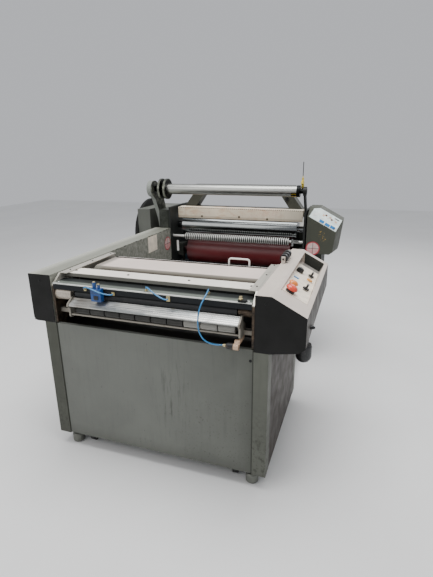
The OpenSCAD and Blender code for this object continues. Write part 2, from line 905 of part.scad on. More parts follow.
module fork(x) {
    wheel_y = caster_at[1] + caster_trail;
    bar_z([x, caster_at[1]], [skirt_z - 8, skirt_z + 9], 12);
    bar_z([x, caster_at[1]], [skirt_z - 8, skirt_z - 0.3], 44);
    for (dx = [-18, 15]) block([x + dx, x + dx + 3], [caster_at[1] - 8, wheel_y + 14], [24, 66]);
    bar_x([x - 20, x + 20], [wheel_y, caster_z], 8);
}

module front_left_fork() {
    color("#8f9392") placed() fork(-caster_at[0]);
}

module front_right_fork() {
    color("#8f9392") placed() fork(caster_at[0]);
}

module caster_wheel(x) {
    at = [caster_at[1] + caster_trail, caster_z];
    difference() {
        union() {
            bar_x([x - 12, x + 12], at, caster_d);
            bar_x([x - 14.5, x + 14.5], at, 22);
        }
        bar_x([x - 20, x + 20], at, 8 + run_fit);
    }
}

module front_left_wheel() {
    color("#161616") placed() caster_wheel(-caster_at[0]);
}

module front_right_wheel() {
    color("#161616") placed() caster_wheel(caster_at[0]);
}

module rear_wheels() {
    color("#161616") placed() {
        bar_x([-tower_x - 10, tower_x + 10], rear_axle, 20);
        both_sides() bar_x([372, 404], rear_axle, 88);
    }
}

module motor_pulley() {
    color("#9aa0a0") placed() {
        bar_x([-546, -514], motor_at, motor_pulley_d);
        bar_x([-514, -tower_x - 0.3], motor_at, 24);
    }
}

corner_posts();
front_panel();
cabinet_panels();
base_rails();
left_beam();
beam_end_caps();
console_shell();
console_panel();
inner_side_plates();
front_crossbar();
valve_rail();
delivery_lip();
lower_brackets();
air_cylinder();
air_valve();
air_fittings();
air_tube_left();
air_tube_middle();
air_tube_right();
filter_regulator();
regulator_knob();
levelling_feet();
cable_gland();
tower_side_plates();
tower_panels();
drive_housing();
round_guard();
control_box();
control_fascia();
rear_arch();
shaft_arm();
shaft_post();
infeed_table();
drive_motor();
drive_belt();
lift_cylinders();
guard_plate();
guard_handle();
hood();
chrome_roller();
pressure_roller();
pressure_blocks();
ribbed_roller();
film_shaft();
latch_lever();
nip_roller();
segmented_roller();
emergency_stop();
orange_button();
amber_button();
speed_knob();
selector_front();
selector_rear();
edge_wheels();
front_left_fork();
front_right_fork();
front_left_wheel();
front_right_wheel();
rear_wheels();
motor_pulley();
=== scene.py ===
import math

import bmesh
import bpy
from mathutils import Matrix, Vector


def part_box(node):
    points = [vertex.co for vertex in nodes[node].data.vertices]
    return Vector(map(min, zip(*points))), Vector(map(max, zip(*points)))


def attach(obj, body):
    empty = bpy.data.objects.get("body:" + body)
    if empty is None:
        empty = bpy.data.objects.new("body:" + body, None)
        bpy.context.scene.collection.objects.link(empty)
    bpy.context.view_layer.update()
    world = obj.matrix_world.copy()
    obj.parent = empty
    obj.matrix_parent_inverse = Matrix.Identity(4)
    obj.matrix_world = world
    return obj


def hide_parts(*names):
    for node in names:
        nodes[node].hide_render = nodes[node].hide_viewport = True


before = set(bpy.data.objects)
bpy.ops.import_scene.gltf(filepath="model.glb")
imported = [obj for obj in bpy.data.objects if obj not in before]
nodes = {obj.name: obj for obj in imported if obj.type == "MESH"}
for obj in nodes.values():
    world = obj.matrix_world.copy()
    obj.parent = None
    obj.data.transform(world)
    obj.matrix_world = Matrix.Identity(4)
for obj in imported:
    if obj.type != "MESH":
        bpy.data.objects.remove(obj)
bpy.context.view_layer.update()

# Machine coordinates: millimetres from the cabinet's centre line, front face and the floor
posts_low, posts_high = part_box("corner_posts")
CENTRE_X = (posts_low[0] + posts_high[0]) / 2
FRONT_Y = posts_low[1]


def at(x, y, z):
    return Vector((CENTRE_X + x / 1000, FRONT_Y + y / 1000, z / 1000))


# Axes that run across the machine, as points on its centre plane
NIP_AXIS = at(0, 42, 822)
RIBBED_AXIS = at(0, 1340, 850)
SHAFT_AXIS = at(0, 1250, 1193)


# ---------------------------------------------------------------- camera

def add_camera():
    data = bpy.data.cameras.new("camera")
    data.lens = 26.5
    data.sensor_width = 36
    cam = bpy.data.objects.new("camera", data)
    bpy.context.collection.objects.link(cam)
    yaw, pitch, roll = (math.radians(a) for a in (19.177, 17.842, -0.62))
    turn = Matrix.Rotation(yaw, 4, "Z") @ Matrix.Rotation(math.pi / 2 - pitch, 4, "X")
    lean = Matrix.Rotation(roll, 4, "Z")
    cam.matrix_world = Matrix.Translation(at(843.75, -1500, 1435)) @ turn @ lean
    bpy.context.scene.camera = cam


add_camera()

# ---------------------------------------------------------------- materials


def linear(code):
    """Linear colour of a #rrggbb code."""
    parts = [int(code[i:i + 2], 16) / 255 for i in (1, 3, 5)]
    return tuple(p / 12.92 if p <= 0.04045 else ((p + 0.055) / 1.055) ** 2.4 for p in parts)


def shade(color, k):
    return tuple(min(1.0, c * k) for c in color)


class Shader:
    """A material under construction: short calls that add and link nodes."""

    def __init__(self, name, color, roughness=0.5, metallic=0.0):
        self.material = bpy.data.materials.new(name)
        self.material.use_nodes = True
        self.material.diffuse_color = (*color, 1)
        self.tree = self.material.node_tree
        self.principled = self.tree.nodes["Principled BSDF"]
        self.set("Base Color", (*color, 1))
        self.set("Roughness", roughness)
        self.set("Metallic", metallic)
        self.place = self.tree.nodes.new("ShaderNodeTexCoord").outputs["Object"]

    def set(self, socket, value):
        self.principled.inputs[socket].default_value = value

    def link(self, source, socket):
        self.tree.links.new(source, self.principled.inputs[socket])

    def node(self, kind, inputs=None, **settings):
        made = self.tree.nodes.new(kind)
        for key, value in settings.items():
            setattr(made, key, value)
        for key, value in (inputs or {}).items():
            if isinstance(value, bpy.types.NodeSocket):
                self.tree.links.new(value, made.inputs[key])
            else:
                made.inputs[key].default_value = value
        return made

    def stretched(self, scale):
        return self.node("ShaderNodeMapping", {"Vector": self.place, "Scale": scale}).outputs["Vector"]

    def noise(self, scale, detail=4.0, roughness=0.55, vector=None, distortion=0.0):
        made = self.node("ShaderNodeTexNoise", {
            "Vector": vector or self.place, "Scale": scale, "Detail": detail,
            "Roughness": roughness, "Distortion": distortion})
        return made.outputs["Fac"]

    def ramp(self, source, low, high, from_value=0.0, to_value=1.0):
        made = self.node("ShaderNodeMapRange", {
            "Value": source, "From Min": low, "From Max": high,
            "To Min": from_value, "To Max": to_value})
        return made.outputs["Result"]

    def mix(self, factor, a, b):
        made = self.node("ShaderNodeMix", data_type="RGBA")
        for index, value in ((0, factor), (6, a), (7, b)):
            if isinstance(value, bpy.types.NodeSocket):
                self.tree.links.new(value, made.inputs[index])
            elif index == 0:
                made.inputs[0].default_value = value
            else:
                made.inputs[index].default_value = (*value, 1)
        return made.outputs[2]

    def math(self, operation, a, b=0.0):
        return self.node("ShaderNodeMath", {0: a, 1: b}, operation=operation).outputs[0]

    def axis(self, name):
        return self.node("ShaderNodeSeparateXYZ", {0: self.place}).outputs[name]

    def above(self, name, limit, soft=0.0004):
        return self.ramp(self.axis(name), limit - soft, limit + soft)

    def below(self, name, limit, soft=0.0004):
        return self.ramp(self.axis(name), limit - soft, limit + soft, 1, 0)

    def both(self, *masks):
        total = masks[0]
        for mask in masks[1:]:
            total = self.math("MULTIPLY", total, mask)
        return total

    def from_point(self, centre, flatten=(1, 1, 1)):
        """Distance from a point, or from an axis where flatten is zero."""
        flat = self.node("ShaderNodeVectorMath", {0: self.place, 1: flatten}, operation="MULTIPLY")
        goal = [c * f for c, f in zip(centre, flatten)]
        made = self.node("ShaderNodeVectorMath", {0: flat.outputs["Vector"], 1: goal},
                         operation="DISTANCE")
        return made.outputs["Value"]

    def bump(self, height, strength=0.2, distance=0.001):
        made = self.node("ShaderNodeBump", {"Height": height, "Strength": strength,
                                            "Distance": distance})
        self.link(made.outputs["Normal"], "Normal")

    def finish(self, color, roughness=None, spread=0.1, scale=14):
        """Colour and cloudy roughness, ready to use."""
        self.link(color, "Base Color")
        if roughness is not None:
            clouds = self.ramp(self.noise(scale, 4), 0.3, 0.7, roughness - spread, roughness + spread)
            self.link(clouds, "Roughness")
        return self.material


def row_x(x):
    return CENTRE_X + x / 1000


def row_y(y):
    return FRONT_Y + y / 1000


def painted(name, code, roughness=0.5, dirt=0.35, streaks=0.25, chips=0.3, extra=None,
            chip_color="#34352f", grain=900):
    """Satin paint: cloudy dirt, runs down its height, orange peel and small dark chips."""
    base = linear(code)
    s = Shader(name, base, roughness)
    s.set("Specular IOR Level", 0.22)
    clouds = s.ramp(s.noise(3.2, 6, 0.62), 0.34, 0.72)
    color = s.mix(clouds, shade(base, 1 - dirt * 0.5), shade(base, 1 + dirt * 0.3))
    runs = s.ramp(s.noise(6, 5, 0.6, s.stretched((9, 9, 0.7))), 0.52, 0.75, 0, streaks)
    color = s.mix(runs, color, shade(base, 0.5))
    smudge = s.ramp(s.noise(28, 5, 0.7, None, 0.6), 0.6, 0.8, 0, dirt * 0.7)
    color = s.mix(smudge, color, shade(base, 0.6))
    if chips:
        spots = s.ramp(s.noise(70, 3, 0.5, s.stretched((1, 1, 0.5))), 0.70, 0.735, 0, chips)
        color = s.mix(spots, color, linear(chip_color))
    if extra:
        color = extra(s, color)
    s.bump(s.noise(grain, 2), 0.08, 0.0004)
    return s.finish(color, roughness)


def brushed(name, code, roughness=0.32, along="X", stain=0.25, metallic=1.0, stain_code="#4f4a42",
            extra=None):
    """Bare metal with drawing marks along one axis and light staining."""
    base = linear(code)
    s = Shader(name, base, roughness, metallic)
    scale = {"X": (1.5, 260, 260), "Y": (260, 1.5, 260), "Z": (260, 260, 1.5)}[along]
    marks = s.noise(1.0, 4, 0.65, s.stretched(scale))
    color = s.mix(s.ramp(marks, 0.35, 0.65), shade(base, 0.82), shade(base, 1.08))
    spots = s.ramp(s.noise(19, 5, 0.68, None, 0.4), 0.55, 0.78, 0, stain)
    color = s.mix(spots, color, linear(stain_code))
    if extra:
        color = extra(s, color)
    s.bump(marks, 0.12, 0.0003)
    s.link(color, "Base Color")
    s.link(s.ramp(marks, 0.3, 0.7, max(0.03, roughness - 0.1), roughness + 0.12), "Roughness")
    return s.material


def moulded(name, code, roughness=0.4, dust=0.2, dust_code="#a09b92", coat=0.0, fine=90,
            extra=None):
    """Plastic, rubber or film with a thin layer of dust."""
    base = linear(code)
    s = Shader(name, base, roughness)
    s.set("Coat Weight", coat)
    color = s.mix(s.ramp(s.noise(fine / 3, 4), 0.35, 0.7), shade(base, 0.84), shade(base, 1.12))
    film = s.ramp(s.noise(fine, 5, 0.7), 0.55, 0.8, 0, dust)
    color = s.mix(film, color, linear(dust_code))
    if extra:
        color = extra(s, color)
    s.bump(s.noise(2000, 2), 0.06, 0.0002)
    return s.finish(color, roughness, 0.08, 60)


# Marks, painted shade and painted highlights that belong to single pieces: each takes the shader and
# its colour so far

def panel_marks(s, color):
    # Painted sheen: a broad lighter cloud on the panel, left of centre
    painted_sheen = s.ramp(s.from_point(at(-200, 0, 480)), 0.1, 0.75, 0.22, 0)
    color = s.mix(painted_sheen, color, linear("#8b8e89"))
    smear = s.ramp(s.noise(5, 5, 0.6, s.stretched((16, 1, 1.6))), 0.55, 0.72)
    middle = s.both(s.above("X", row_x(30), 0.05), s.below("X", row_x(170), 0.06),
                    s.below("Z", 0.56, 0.05), s.above("Z", 0.2, 0.1))
    color = s.mix(s.both(smear, middle), color, linear("#4b4d48"))
    rust = s.ramp(s.noise(120, 4, 0.6), 0.62, 0.70, 0, 0.75)
    low_right = s.both(s.above("X", row_x(180), 0.12), s.below("Z", 0.42, 0.12))
    color = s.mix(s.both(rust, low_right), color, linear("#39342d"))
    edge = s.math("MAXIMUM", s.below("Z", 0.105, 0.035), s.above("X", row_x(440), 0.03))
    color = s.mix(s.math("MULTIPLY", edge, 0.45), color, linear("#454740"))
    joint = s.math("MAXIMUM", s.above("X", row_x(471), 0.002), s.below("X", row_x(-471), 0.002))
    return s.mix(s.math("MULTIPLY", joint, 0.8), color, linear("#24251f"))


def post_marks(s, color):
    # Painted shade: the posts on the left-hand side are darkened
    color = s.mix(s.math("MULTIPLY", s.below("X", row_x(0)), 0.55), color, linear("#33342c"))
    foot = s.below("Z", 0.30, 0.15)
    dark_mottle = s.ramp(s.noise(60, 5, 0.65), 0.5, 0.66, 0, 0.8)
    return s.mix(s.both(foot, dark_mottle), color, linear("#33332c"))


def beam_marks(s, color):
    outer = s.below("X", row_x(-565), 0.025)
    color = s.mix(s.math("MULTIPLY", outer, 0.45), color, linear("#c9c9bf"))
    # Painted shade: the inner face is darker, with a speckled tone
    inner = s.both(s.above("X", row_x(-483.5)), s.below("Z", 0.908))
    face = s.mix(s.ramp(s.noise(40, 6, 0.7), 0.35, 0.65), linear("#6d6e65"), linear("#9a9b91"))
    color = s.mix(inner, color, face)
    lip = s.both(s.above("X", row_x(-486)), s.above("Z", 0.9045), s.above("Y", row_y(520), 0.02))
    dashes = s.ramp(s.noise(60, 2, 0.5, s.stretched((0.1, 1, 0.1))), 0.5, 0.56, 0, 0.85)
    return s.mix(s.both(lip, dashes), color, linear("#1d1e1b"))


def console_marks(s, color):
    side = s.both(s.above("X", row_x(678)), s.below("Z", 0.836))
    color = s.mix(side, color, linear("#2f2820"))
    inside = s.both(s.above("X", row_x(555.5)), s.below("X", row_x(662)), s.below("Y", row_y(816.5)))
    floor = s.both(inside, s.above("Y", row_y(722)))
    color = s.mix(floor, color, linear("#8b8781"))
    # Painted shadow on the back wall of the sunk panel
    shaded_back_wall = s.both(inside, s.above("Y", row_y(813.5)))
    color = s.mix(shaded_back_wall, color, linear("#31332f"))
    flank = s.both(s.above("X", row_x(660)), s.below("X", row_x(668)), s.above("Y", row_y(121)),
                   s.below("Y", row_y(815)), s.below("Z", 0.842))
    color = s.mix(flank, color, linear("#8f8b84"))
    speckle = s.ramp(s.noise(160, 4, 0.7), 0.6, 0.68, 0, 0.35)
    return s.mix(speckle, color, linear("#7d766e"))


def guard_marks(s, color):
    # Painted shade on the bent front strip, darkest at its lower edge
    shaded_bend = s.both(s.below("Y", row_y(304), 0.006), s.below("Z", 0.8872, 0.0006))
    under = s.ramp(s.axis("Z"), 0.874, 0.887)
    color = s.mix(shaded_bend, color, s.mix(under, linear("#403c35"), linear("#827d74")))
    low = s.below("Z", 0.862, 0.012)
    color = s.mix(s.math("MULTIPLY", low, 0.6), color, linear("#4c4640"))
    cheek = s.math("MAXIMUM", s.below("X", row_x(-396), 0.012), s.above("X", row_x(428)))
    color = s.mix(s.math("MULTIPLY", cheek, 0.75), color, linear("#77766e"))
    # Painted shadow: a dark line along the rear edge of the guard
    rim = s.above("Y", row_y(472), 0.003)
    color = s.mix(rim, color, linear("#0d0c0b"))
    matt = s.math("MAXIMUM", shaded_bend, rim)
    s.link(s.ramp(matt, 0, 1, 0.22, 0), "Specular IOR Level")
    # Painted highlight: a pale line on the rear lip
    edge = s.above("Y", row_y(494.5))
    return s.mix(edge, color, linear("#f1ebe4"))


def hood_marks(s, color):
    aged = s.ramp(s.noise(14, 5, 0.6, s.stretched((1, 1, 2.5)), 0.8), 0.5, 0.68)
    warm = s.both(aged, s.below("X", row_x(280), 0.12))
    color = s.mix(s.math("MULTIPLY", warm, 0.5), color, linear("#cf9a6c"))
    pink = s.ramp(s.noise(210, 2), 0.52, 0.6)
    patch = s.both(pink, s.above("X", row_x(90), 0.05), s.below("X", row_x(300), 0.05),
                   s.above("Z", 1.0, 0.01))
    color = s.mix(s.math("MULTIPLY", patch, 0.35), color, linear("#d87f6f"))
    right = s.above("X", row_x(300), 0.1)
    color = s.mix(s.math("MULTIPLY", right, 0.5), color, linear("#b9b6a8"))
    # Painted shadow: a darker band along the bottom of the front face
    low = s.both(s.below("Z", 0.992, 0.003), s.below("Y", row_y(1400)))
    color = s.mix(s.math("MULTIPLY", low, 0.4), color, linear("#84796a"))
    front = s.below("Y", row_y(1400))
    for x, z in ((-270, 0.99), (10, 0.994), (212, 0.987)):
        dot = s.both(s.ramp(s.from_point(at(x, 1398, z * 1000)), 0.006, 0.009, 1, 0), front)
        color = s.mix(dot, color, linear("#4a4035"))
    wave = s.math("SINE", s.math("MULTIPLY", s.axis("X"), 2 * math.pi / 0.0145))
    teeth = s.both(s.ramp(wave, -0.2, 0.2), s.above("Z", 1.046), s.below("Y", row_y(1420)))
    return s.mix(s.math("MULTIPLY", teeth, 0.85), color, linear("#5a5145"))


def rail_marks(s, color):
    # Painted shade: the front face is made near black
    face = s.both(s.below("Z", 0.8725), s.below("Y", row_y(3.5)))
    color = s.mix(face, color, linear("#15181b"))
    # Painted highlight along the front edge of the top
    painted_highlight = s.both(s.above("Z", 0.8725), s.below("Y", row_y(5)))
    color = s.mix(painted_highlight, color, linear("#d9dad4"))
    worn = s.ramp(s.noise(9, 5, 0.7, s.stretched((1, 8, 8))), 0.5, 0.7, 0, 0.6)
    color = s.mix(s.both(worn, s.above("Z", 0.8735)), color, linear("#3c3f3b"))
    shade_line = s.both(s.above("Y", row_y(38), 0.008), s.above("Z", 0.8735))
    return s.mix(s.math("MULTIPLY", shade_line, 0.9), color, linear("#15171a"))


def lip_grooves(s, color):
    # Painted shade: dark stripes along the grooves
    wave = s.math("SINE", s.math("MULTIPLY", s.axis("Y"), 2 * math.pi / 0.0088))
    groove_shade = s.both(s.ramp(wave, -0.25, 0.1, 0.55, 0), s.above("X", row_x(-60), 0.2))
    color = s.mix(groove_shade, color, linear("#3a3d3f"))
    patches = s.ramp(s.noise(7, 4, 0.6, s.stretched((1, 6, 6))), 0.46, 0.60, 0, 0.6)
    color = s.mix(patches, color, linear("#6a7174"))
    worn = s.both(s.below("X", row_x(-250), 0.08), s.ramp(s.noise(12, 4, 0.6), 0.4, 0.6))
    return s.mix(s.math("MULTIPLY", worn, 0.6), color, linear("#6d5f52"))


def crossbar_face_shade(s, color):
    # Painted shade: the front face is darker than the top
    face = s.both(s.below("Y", row_y(90.5)), s.below("Z", 0.9015))
    return s.mix(face, color, linear("#75746d"))


def rib_shadow(s, color):
    r = s.from_point(RIBBED_AXIS, (0, 1, 1))
    groove = s.both(s.ramp(r, 0.0232, 0.0256, 1, 0), s.above("X", row_x(-381)),
                    s.below("X", row_x(381)))
    return s.mix(groove, color, linear("#12120f"))


def shaft_marks(s, color):
    r = s.from_point(SHAFT_AXIS, (0, 1, 1))
    discs = s.below("X", row_x(-457.5))
    tone = s.mix(s.ramp(r, 0.062, 0.067), linear("#080907"), linear("#6d6f66"))
    color = s.mix(discs, color, tone)
    band = s.both(s.above("X", row_x(398)), s.below("X", row_x(431)), s.below("Z", 1.186))
    stripes = s.ramp(s.math("SINE", s.math("MULTIPLY", s.axis("Z"), 2 * math.pi / 0.017)), 0.1, 0.3)
    color = s.mix(band, color, s.mix(stripes, linear("#1b1a16"), linear("#c9a72c")))
    return s.mix(s.above("X", row_x(431.5)), color, linear("#1a1b1b"))


def segment_tones(s, color):
    light = s.both(s.above("X", row_x(170)), s.below("X", row_x(396)))
    return s.mix(light, color, linear("#a19f98"))


def lever_tip(s, color):
    return s.mix(s.above("Z", 1.287, 0.002), color, linear("#2e2c28"))


def plate_marks(s, color):
    """Painted shade below the flanges, mottled dark brown; the big bearing housing stays pale."""
    # Painted shade: mottled dark brown below the flanges
    low = s.below("Z", 0.862, 0.003)
    dark_mottle = s.mix(s.ramp(s.noise(26, 5, 0.7), 0.4, 0.62), linear("#1f1c18"), linear("#5b4d3f"))
    color = s.mix(low, color, dark_mottle)
    r = s.from_point(NIP_AXIS, (0, 1, 1))
    housing = s.both(s.below("X", row_x(-382)), s.above("X", row_x(-470)),
                     s.ramp(r, 0.0345, 0.036, 1, 0))
    pale = s.mix(s.ramp(s.noise(30, 5, 0.7), 0.35, 0.65), linear("#a69c8e"), linear("#cfc5b8"))
    return s.mix(housing, color, pale)


def cabinet_inside_shade(s, color):
    # Painted shade: the panels above the deck, inside the cabinet, are made near black
    inside = s.above("Z", 0.626)
    return s.mix(inside, color, linear("#0d0b09"))


def arm_side_shade(s, color):
    # Painted shade: the arm's right-hand face is dark and mottled
    side = s.both(s.above("X", row_x(-568.6)), s.above("Z", 0.88))
    tone = s.mix(s.ramp(s.noise(34, 5, 0.7), 0.42, 0.6), linear("#1c1d18"), linear("#585a50"))
    return s.mix(side, color, tone)


def cylinder_marks(s, color):
    color = s.mix(s.below("X", row_x(399)), color, linear("#1f2124"))
    return s.mix(s.ramp(s.noise(80, 4), 0.5, 0.65, 0, 0.5), color, linear("#7a6250"))


def rubber_end_shade(s, color):
    # Painted shade: the roller fades to black towards its left end
    dark = s.below("X", row_x(-385), 0.07)
    return s.mix(s.math("MULTIPLY", dark, 0.85), color, linear("#0c0a0b"))


def valve_marks(s, color):
    color = s.mix(s.ramp(s.noise(70, 4), 0.5, 0.6, 0, 0.6), color, linear("#0d2f5c"))
    return s.mix(s.both(s.above("Z", 0.852), s.below("Z", 0.86)), color, linear("#123a6b"))


def box_marks(s, color):
    front = s.below("Y", row_y(1303), 0.004)
    scratch = s.ramp(s.noise(45, 5, 0.75, None, 1.5), 0.54, 0.58)
    for x, z, size in ((594, 918, 0.024), (611, 882, 0.022)):
        spot = s.ramp(s.from_point(at(x, 1302, z)), size * 0.6, size, 1, 0)
        color = s.mix(s.both(scratch, spot, front), color, linear("#c8a24e"))
    return color


def cover_marks(s, color):
    wear = s.both(s.below("X", row_x(-500)), s.ramp(s.noise(9, 6, 0.7), 0.4, 0.7))
    return s.mix(s.math("MULTIPLY", wear, 0.3), color, linear("#767a71"))


POST = painted("post_paint", "#5f6159", 0.5, 0.4, 0.25, 0.35, post_marks)
PANEL = painted("panel_paint", "#63655f", 0.42, 0.35, 0.3, 0.5, panel_marks)
SIDE = painted("side_paint", "#2e251d", 0.5, 0.4, 0.35, 0.3, cabinet_inside_shade)
DARK = painted("dark_paint", "#2c2e2c", 0.5, 0.4, 0.15, 0.2)
COVER = painted("cover_paint", "#282b25", 0.5, 0.4, 0.2, 0.2, cover_marks)
BEAM = painted("beam_paint", "#84857a", 0.45, 0.3, 0.2, 0.3, beam_marks)
CROSSBAR = painted("crossbar_paint", "#efe9dd", 0.4, 0.25, 0.1, 0.3, crossbar_face_shade)
CAP = painted("cap_paint", "#191918", 0.62, 0.3, 0.1, 0.1, None, "#5a5a55", 1500)
BOX = painted("box_paint", "#494b42", 0.5, 0.3, 0.15, 0.2, box_marks)
CONSOLE = painted("console_paint", "#cbc0b5", 0.48, 0.2, 0.08, 0.15, console_marks, "#6e675f")
GUARD = painted("guard_paint", "#dccdc3", 0.4, 0.2, 0.1, 0.15, guard_marks, "#7d7268")
HOOD = painted("hood_paint", "#f3e4cb", 0.38, 0.3, 0.2, 0.3, hood_marks, "#8a5f3c")
CASTING = painted("casting_paint", "#42443f", 0.55, 0.45, 0.1, 0.2, None, "#1d1d1a", 500)
BLACKENED = painted("blackened_steel", "#1b1c1c", 0.45, 0.3, 0.1, 0.2, None, "#5c5a55", 500)
ARM = painted("arm_paint", "#8b8f89", 0.5, 0.4, 0.2, 0.3, arm_side_shade, "#26261f", 500)
HOUSING = painted("housing_paint", "#62645e", 0.5, 0.35, 0.2, 0.2)
ARCH = painted("arch_paint", "#42433c", 0.5, 0.35, 0.2, 0.2)
MOTOR = painted("motor_paint", "#4d6a78", 0.45, 0.3, 0.1, 0.1)
HANDLE = painted("handle_paint", "#e9e5df", 0.35, 0.2, 0.0, 0.2, None, "#9a948b")
RAIL = painted("rail_paint", "#676d66", 0.4, 0.4, 0.1, 0.2, rail_marks)
ZINC = brushed("zinc_steel", "#c9c6bc", 0.42, "Y", 0.35, 0.85)
PLATE = brushed("plate_steel", "#c4c0b5", 0.45, "Y", 0.35, 0.6, "#4f4a42", plate_marks)
ALU = brushed("bright_aluminium", "#d3d3ce", 0.3, "X", 0.1, 1.0, "#4f4a42", lip_grooves)
SHAFT = brushed("shaft_aluminium", "#a3a4a0", 0.33, "X", 0.25, 1.0, "#55524e", shaft_marks)
BRACKET = brushed("bracket_steel", "#8f8a80", 0.5, "Z", 0.6, 0.5, "#3d3226")
PISTON = brushed("piston_steel", "#d6b69a", 0.4, "X", 0.3, 0.2, "#5b5040", cylinder_marks)
PLAIN_STEEL = brushed("plain_steel", "#b6b8b6", 0.35, "Z", 0.2)
FOOT = brushed("foot_steel", "#74766f", 0.5, "Z", 0.4, 0.6)
CHROME = brushed("chrome_roll", "#7d8080", 0.13, "X", 0.1, 1.0, "#2b2f33")
RIBBED = brushed("ribbed_steel", "#d4d5d0", 0.38, "Z", 0.2, 0.55, "#4f4a42", rib_shadow)
BRASS = brushed("brass", "#cdbd8e", 0.35, "X", 0.2, 0.8)
RED_RUBBER = moulded("rubber_red", "#5c1a1e", 0.42, 0.2, "#74504e", 0.0, 9, rubber_end_shade)
BLACK_RUBBER = moulded("black_rubber", "#141619", 0.5, 0.15, "#4a4c4e", 0.0, 12)
GREY_RUBBER = moulded("grey_rubber", "#3b3a37", 0.6, 0.3, "#6e6c66", 0.0, 14, segment_tones)
WHEEL = moulded("wheel_black", "#161616", 0.6, 0.3, "#55524e", 0.0, 30)
BLACK = moulded("black_plastic", "#1b1c1e", 0.42, 0.2)
BLUE = moulded("valve_blue", "#12488a", 0.35, 0.15, "#a09b92", 0.3, 90, valve_marks)
TUBE = moulded("tube_blue", "#2a7bb0", 0.25, 0.08, "#a09b92", 0.5)
YELLOW = moulded("yellow_plastic", "#cdb63a", 0.4, 0.25, "#8d8658", 0.0, 90, lever_tip)
RED = moulded("red_plastic", "#e2452c", 0.3, 0.1, "#f0a070", 0.4)
ORANGE = moulded("orange_plastic", "#f0862a", 0.3, 0.1, "#f4b680", 0.4)
AMBER = moulded("amber_plastic", "#e09c45", 0.35, 0.15, "#f0cfa0", 0.3)
CREAM = moulded("label_plate", "#f3e7d3", 0.45, 0.15, "#cfae87")
FASCIA = moulded("fascia_film", "#dce7e4", 0.4, 0.3, "#9fb0ad")
WHITE = moulded("white_plastic", "#e6e5e1", 0.4, 0.2)
SCREEN = moulded("display_blue", "#1272b0", 0.2, 0.15, "#58a6d4", 0.5, 150)
PEACH = moulded("indicator_peach", "#d9b49a", 0.4, 0.2)
BROWN = moulded("indicator_brown", "#6d4a35", 0.4, 0.2)

CAD_LOOKS = {
    "corner_posts": POST, "front_panel": PANEL, "cabinet_panels": SIDE, "base_rails": DARK,
    "left_beam": BEAM, "beam_end_caps": CAP, "console_shell": CONSOLE, "console_panel": CREAM,
    "inner_side_plates": PLATE, "front_crossbar": CROSSBAR, "valve_rail": RAIL,
    "delivery_lip": ALU, "lower_brackets": BRACKET, "air_cylinder": PISTON, "air_valve": BLUE,
    "air_fittings": BRASS, "filter_regulator": BLACK, "regulator_knob": BLACK,
    "levelling_feet": FOOT, "cable_gland": BLACK, "tower_side_plates": DARK,
    "tower_panels": COVER, "drive_housing": HOUSING, "round_guard": CAP, "control_box": BOX,
    "control_fascia": FASCIA, "rear_arch": ARCH, "shaft_arm": ARM, "shaft_post": BLACKENED,
    "infeed_table": ZINC, "drive_motor": MOTOR, "drive_belt": BLACK_RUBBER,
    "lift_cylinders": PLAIN_STEEL, "guard_plate": GUARD, "guard_handle": HANDLE, "hood": HOOD,
    "chrome_roller": CHROME, "pressure_roller": RED_RUBBER, "pressure_blocks": CASTING,
    "ribbed_roller": RIBBED, "film_shaft": SHAFT, "latch_lever": YELLOW,
    "nip_roller": BLACK_RUBBER, "segmented_roller": GREY_RUBBER, "emergency_stop": RED,
    "orange_button": ORANGE, "amber_button": AMBER, "speed_knob": BLACK,
    "selector_front": BLACK, "selector_rear": BLACK, "edge_wheels": BLACK,
    "front_left_fork": FOOT, "front_right_fork": FOOT, "front_left_wheel": WHEEL,
    "front_right_wheel": WHEEL, "rear_wheels": WHEEL, "motor_pulley": PLAIN_STEEL,
}
# Round heads and ribs, which a bevel on their facets would spoil
SHARP = {"emergency_stop", "orange_button", "amber_button", "ribbed_roller", "air_fittings"}


def dress_cad_nodes():
    for name, look in CAD_LOOKS.items():
        mesh = nodes[name].data
        mesh.materials.clear()
        mesh.materials.append(look)
        if name in SHARP:
            continue
        bevel = nodes[name].modifiers.new("edges", "BEVEL")
        bevel.width = 0.0008
        bevel.segments = 2
        bevel.limit_method = "ANGLE"
        bevel.angle_limit = math.radians(35)


dress_cad_nodes()

# ---------------------------------------------------------------- small pieces


def keep(name, bm, look, body):
    mesh = bpy.data.meshes.new(name)
    bmesh.ops.recalc_face_normals(bm, faces=bm.faces)
    bm.to_mesh(mesh)
    bm.free()
    mesh.materials.append(look)
    piece = bpy.data.objects.new(name, mesh)
    bpy.context.collection.objects.link(piece)
    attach(piece, body)
    return piece


def slab(name, centre, right, up, size, look, body="frame", bevel=0.0005):
    """Block with its own directions: size is along right, along up and out of the face."""
    right, up = Vector(right).normalized(), Vector(up).normalized()
    out = right.cross(up).normalized()
    bm = bmesh.new()
    corners = []
    for k in (0, 1):
        for i, j in ((-0.5, -0.5), (0.5, -0.5), (0.5, 0.5), (-0.5, 0.5)):
            spot = Vector(centre) + right * size[0] * i + up * size[1] * j + out * size[2] * k
            corners.append(bm.verts.new(spot))
    bm.faces.new(corners[:4])
    bm.faces.new(corners[4:])
    for i in range(4):
        j = (i + 1) % 4
        bm.faces.new((corners[i], corners[j], corners[j + 4], corners[i + 4]))
    if bevel:
        bmesh.ops.bevel(bm, geom=list(bm.edges), offset=bevel, segments=2, affect="EDGES")
    return keep(name, bm, look, body)


